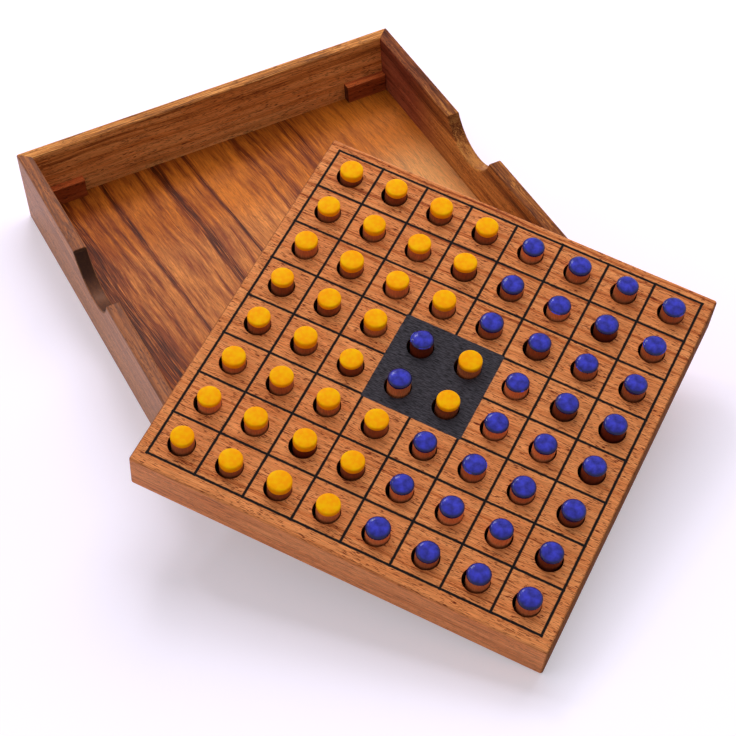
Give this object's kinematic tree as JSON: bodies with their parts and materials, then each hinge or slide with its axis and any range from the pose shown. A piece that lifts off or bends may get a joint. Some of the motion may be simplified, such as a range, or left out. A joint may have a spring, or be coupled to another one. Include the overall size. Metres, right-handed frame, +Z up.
{
  "type": "reversi board game",
  "caption": "Square wooden tray with finger notches and a thick board that leans on it, its grid of blind holes full of loose pegs with painted ends, around a black centre square.",
  "frame": {"origin": "centre of the tray's underside", "axes": "+Z up, +Y from the near wall, which the board leans on, to the far wall, +X to the right wall"},
  "size_m": [0.2064, 0.2922, 0.0657],
  "materials": {
    "wall_wood": "oiled, striped",
    "floor_wood": "oiled, strongly figured",
    "ledge_wood": "oiled",
    "board_wood": "oiled, open pores, with ink lines and a black centre square",
    "peg_yellow_end_up": "yellow lacquer on the standing end, bare wood below",
    "peg_blue_end_up": "blue lacquer on the standing end, bare wood below"
  },
  "bodies": {
    "tray": {"floor_panel": "floor_wood", "far_wall": "wall_wood", "left_wall": "wall_wood", "near_wall": "wall_wood", "right_wall": "wall_wood", "ledge_far_left": "ledge_wood", "ledge_far_right": "ledge_wood", "ledge_near_left": "ledge_wood", "ledge_near_right": "ledge_wood"},
    "board": {"playing_board": "board_wood"},
    "pegs_column_a": {"pegs_column_a": "peg_yellow_end_up"},
    "peg_b1": {"peg_b1": "peg_yellow_end_up"},
    "peg_b2": {"peg_b2": "peg_yellow_end_up"},
    "peg_b3": {"peg_b3": "peg_yellow_end_up"},
    "peg_b4": {"peg_b4": "peg_yellow_end_up"},
    "peg_b5": {"peg_b5": "peg_yellow_end_up"},
    "peg_b6": {"peg_b6": "peg_yellow_end_up"},
    "peg_b7": {"peg_b7": "peg_yellow_end_up"},
    "peg_b8": {"peg_b8": "peg_yellow_end_up"},
    "peg_c1": {"peg_c1": "peg_yellow_end_up"},
    "peg_c2": {"peg_c2": "peg_yellow_end_up"},
    "peg_c3": {"peg_c3": "peg_yellow_end_up"},
    "peg_c4": {"peg_c4": "peg_yellow_end_up"},
    "peg_c5": {"peg_c5": "peg_yellow_end_up"},
    "peg_c6": {"peg_c6": "peg_yellow_end_up"},
    "peg_c7": {"peg_c7": "peg_yellow_end_up"},
    "peg_c8": {"peg_c8": "peg_yellow_end_up"},
    "peg_d1": {"peg_d1": "peg_yellow_end_up"},
    "peg_d2": {"peg_d2": "peg_yellow_end_up"},
    "peg_d3": {"peg_d3": "peg_yellow_end_up"},
    "peg_d4": {"peg_d4": "peg_blue_end_up"},
    "peg_d5": {"peg_d5": "peg_blue_end_up"},
    "peg_d6": {"peg_d6": "peg_yellow_end_up"},
    "peg_d7": {"peg_d7": "peg_yellow_end_up"},
    "peg_d8": {"peg_d8": "peg_yellow_end_up"},
    "peg_e1": {"peg_e1": "peg_blue_end_up"},
    "peg_e2": {"peg_e2": "peg_blue_end_up"},
    "peg_e3": {"peg_e3": "peg_blue_end_up"},
    "peg_e4": {"peg_e4": "peg_yellow_end_up"},
    "peg_e5": {"peg_e5": "peg_yellow_end_up"},
    "peg_e6": {"peg_e6": "peg_blue_end_up"},
    "peg_e7": {"peg_e7": "peg_blue_end_up"},
    "peg_e8": {"peg_e8": "peg_blue_end_up"},
    "peg_f1": {"peg_f1": "peg_blue_end_up"},
    "peg_f2": {"peg_f2": "peg_blue_end_up"},
    "peg_f3": {"peg_f3": "peg_blue_end_up"},
    "peg_f4": {"peg_f4": "peg_blue_end_up"},
    "peg_f5": {"peg_f5": "peg_blue_end_up"},
    "peg_f6": {"peg_f6": "peg_blue_end_up"},
    "peg_f7": {"peg_f7": "peg_blue_end_up"},
    "peg_f8": {"peg_f8": "peg_blue_end_up"},
    "peg_g1": {"peg_g1": "peg_blue_end_up"},
    "peg_g2": {"peg_g2": "peg_blue_end_up"},
    "peg_g3": {"peg_g3": "peg_blue_end_up"},
    "peg_g4": {"peg_g4": "peg_blue_end_up"},
    "peg_g5": {"peg_g5": "peg_blue_end_up"},
    "peg_g6": {"peg_g6": "peg_blue_end_up"},
    "peg_g7": {"peg_g7": "peg_blue_end_up"},
    "peg_g8": {"peg_g8": "peg_blue_end_up"},
    "pegs_column_h": {"pegs_column_h": "peg_blue_end_up"}
  },
  "joints": [
    {"name": "board_lift", "type": "slide", "parent": "tray", "child": "board", "axis": [0, 0, 1], "range_m": [0, 0.06]},
    {"name": "pegs_column_a_pull", "type": "slide", "parent": "board", "child": "pegs_column_a", "axis": [0, -0.2368, 0.9716], "range_m": [0, 0.016]},
    {"name": "peg_b1_pull", "type": "slide", "parent": "board", "child": "peg_b1", "axis": [0, -0.2368, 0.9716], "range_m": [0, 0.016]},
    {"name": "peg_b2_pull", "type": "slide", "parent": "board", "child": "peg_b2", "axis": [0, -0.2368, 0.9716], "range_m": [0, 0.016]},
    {"name": "peg_b3_pull", "type": "slide", "parent": "board", "child": "peg_b3", "axis": [0, -0.2368, 0.9716], "range_m": [0, 0.016]},
    {"name": "peg_b4_pull", "type": "slide", "parent": "board", "child": "peg_b4", "axis": [0, -0.2368, 0.9716], "range_m": [0, 0.016]},
    {"name": "peg_b5_pull", "type": "slide", "parent": "board", "child": "peg_b5", "axis": [0, -0.2368, 0.9716], "range_m": [0, 0.016]},
    {"name": "peg_b6_pull", "type": "slide", "parent": "board", "child": "peg_b6", "axis": [0, -0.2368, 0.9716], "range_m": [0, 0.016]},
    {"name": "peg_b7_pull", "type": "slide", "parent": "board", "child": "peg_b7", "axis": [0, -0.2368, 0.9716], "range_m": [0, 0.016]},
    {"name": "peg_b8_pull", "type": "slide", "parent": "board", "child": "peg_b8", "axis": [0, -0.2368, 0.9716], "range_m": [0, 0.016]},
    {"name": "peg_c1_pull", "type": "slide", "parent": "board", "child": "peg_c1", "axis": [0, -0.2368, 0.9716], "range_m": [0, 0.016]},
    {"name": "peg_c2_pull", "type": "slide", "parent": "board", "child": "peg_c2", "axis": [0, -0.2368, 0.9716], "range_m": [0, 0.016]},
    {"name": "peg_c3_pull", "type": "slide", "parent": "board", "child": "peg_c3", "axis": [0, -0.2368, 0.9716], "range_m": [0, 0.016]},
    {"name": "peg_c4_pull", "type": "slide", "parent": "board", "child": "peg_c4", "axis": [0, -0.2368, 0.9716], "range_m": [0, 0.016]},
    {"name": "peg_c5_pull", "type": "slide", "parent": "board", "child": "peg_c5", "axis": [0, -0.2368, 0.9716], "range_m": [0, 0.016]},
    {"name": "peg_c6_pull", "type": "slide", "parent": "board", "child": "peg_c6", "axis": [0, -0.2368, 0.9716], "range_m": [0, 0.016]},
    {"name": "peg_c7_pull", "type": "slide", "parent": "board", "child": "peg_c7", "axis": [0, -0.2368, 0.9716], "range_m": [0, 0.016]},
    {"name": "peg_c8_pull", "type": "slide", "parent": "board", "child": "peg_c8", "axis": [0, -0.2368, 0.9716], "range_m": [0, 0.016]},
    {"name": "peg_d1_pull", "type": "slide", "parent": "board", "child": "peg_d1", "axis": [0, -0.2368, 0.9716], "range_m": [0, 0.016]},
    {"name": "peg_d2_pull", "type": "slide", "parent": "board", "child": "peg_d2", "axis": [0, -0.2368, 0.9716], "range_m": [0, 0.016]},
    {"name": "peg_d3_pull", "type": "slide", "parent": "board", "child": "peg_d3", "axis": [0, -0.2368, 0.9716], "range_m": [0, 0.016]},
    {"name": "peg_d4_pull", "type": "slide", "parent": "board", "child": "peg_d4", "axis": [0, -0.2368, 0.9716], "range_m": [0, 0.016]},
    {"name": "peg_d5_pull", "type": "slide", "parent": "board", "child": "peg_d5", "axis": [0, -0.2368, 0.9716], "range_m": [0, 0.016]},
    {"name": "peg_d6_pull", "type": "slide", "parent": "board", "child": "peg_d6", "axis": [0, -0.2368, 0.9716], "range_m": [0, 0.016]},
    {"name": "peg_d7_pull", "type": "slide", "parent": "board", "child": "peg_d7", "axis": [0, -0.2368, 0.9716], "range_m": [0, 0.016]},
    {"name": "peg_d8_pull", "type": "slide", "parent": "board", "child": "peg_d8", "axis": [0, -0.2368, 0.9716], "range_m": [0, 0.016]},
    {"name": "peg_e1_pull", "type": "slide", "parent": "board", "child": "peg_e1", "axis": [0, -0.2368, 0.9716], "range_m": [0, 0.016]},
    {"name": "peg_e2_pull", "type": "slide", "parent": "board", "child": "peg_e2", "axis": [0, -0.2368, 0.9716], "range_m": [0, 0.016]},
    {"name": "peg_e3_pull", "type": "slide", "parent": "board", "child": "peg_e3", "axis": [0, -0.2368, 0.9716], "range_m": [0, 0.016]},
    {"name": "peg_e4_pull", "type": "slide", "parent": "board", "child": "peg_e4", "axis": [0, -0.2368, 0.9716], "range_m": [0, 0.016]},
    {"name": "peg_e5_pull", "type": "slide", "parent": "board", "child": "peg_e5", "axis": [0, -0.2368, 0.9716], "range_m": [0, 0.016]},
    {"name": "peg_e6_pull", "type": "slide", "parent": "board", "child": "peg_e6", "axis": [0, -0.2368, 0.9716], "range_m": [0, 0.016]},
    {"name": "peg_e7_pull", "type": "slide", "parent": "board", "child": "peg_e7", "axis": [0, -0.2368, 0.9716], "range_m": [0, 0.016]},
    {"name": "peg_e8_pull", "type": "slide", "parent": "board", "child": "peg_e8", "axis": [0, -0.2368, 0.9716], "range_m": [0, 0.016]},
    {"name": "peg_f1_pull", "type": "slide", "parent": "board", "child": "peg_f1", "axis": [0, -0.2368, 0.9716], "range_m": [0, 0.016]},
    {"name": "peg_f2_pull", "type": "slide", "parent": "board", "child": "peg_f2", "axis": [0, -0.2368, 0.9716], "range_m": [0, 0.016]},
    {"name": "peg_f3_pull", "type": "slide", "parent": "board", "child": "peg_f3", "axis": [0, -0.2368, 0.9716], "range_m": [0, 0.016]},
    {"name": "peg_f4_pull", "type": "slide", "parent": "board", "child": "peg_f4", "axis": [0, -0.2368, 0.9716], "range_m": [0, 0.016]},
    {"name": "peg_f5_pull", "type": "slide", "parent": "board", "child": "peg_f5", "axis": [0, -0.2368, 0.9716], "range_m": [0, 0.016]},
    {"name": "peg_f6_pull", "type": "slide", "parent": "board", "child": "peg_f6", "axis": [0, -0.2368, 0.9716], "range_m": [0, 0.016]},
    {"name": "peg_f7_pull", "type": "slide", "parent": "board", "child": "peg_f7", "axis": [0, -0.2368, 0.9716], "range_m": [0, 0.016]},
    {"name": "peg_f8_pull", "type": "slide", "parent": "board", "child": "peg_f8", "axis": [0, -0.2368, 0.9716], "range_m": [0, 0.016]},
    {"name": "peg_g1_pull", "type": "slide", "parent": "board", "child": "peg_g1", "axis": [0, -0.2368, 0.9716], "range_m": [0, 0.016]},
    {"name": "peg_g2_pull", "type": "slide", "parent": "board", "child": "peg_g2", "axis": [0, -0.2368, 0.9716], "range_m": [0, 0.016]},
    {"name": "peg_g3_pull", "type": "slide", "parent": "board", "child": "peg_g3", "axis": [0, -0.2368, 0.9716], "range_m": [0, 0.016]},
    {"name": "peg_g4_pull", "type": "slide", "parent": "board", "child": "peg_g4", "axis": [0, -0.2368, 0.9716], "range_m": [0, 0.016]},
    {"name": "peg_g5_pull", "type": "slide", "parent": "board", "child": "peg_g5", "axis": [0, -0.2368, 0.9716], "range_m": [0, 0.016]},
    {"name": "peg_g6_pull", "type": "slide", "parent": "board", "child": "peg_g6", "axis": [0, -0.2368, 0.9716], "range_m": [0, 0.016]},
    {"name": "peg_g7_pull", "type": "slide", "parent": "board", "child": "peg_g7", "axis": [0, -0.2368, 0.9716], "range_m": [0, 0.016]},
    {"name": "peg_g8_pull", "type": "slide", "parent": "board", "child": "peg_g8", "axis": [0, -0.2368, 0.9716], "range_m": [0, 0.016]},
    {"name": "pegs_column_h_pull", "type": "slide", "parent": "board", "child": "pegs_column_h", "axis": [0, -0.2368, 0.9716], "range_m": [0, 0.016]}
  ]
}
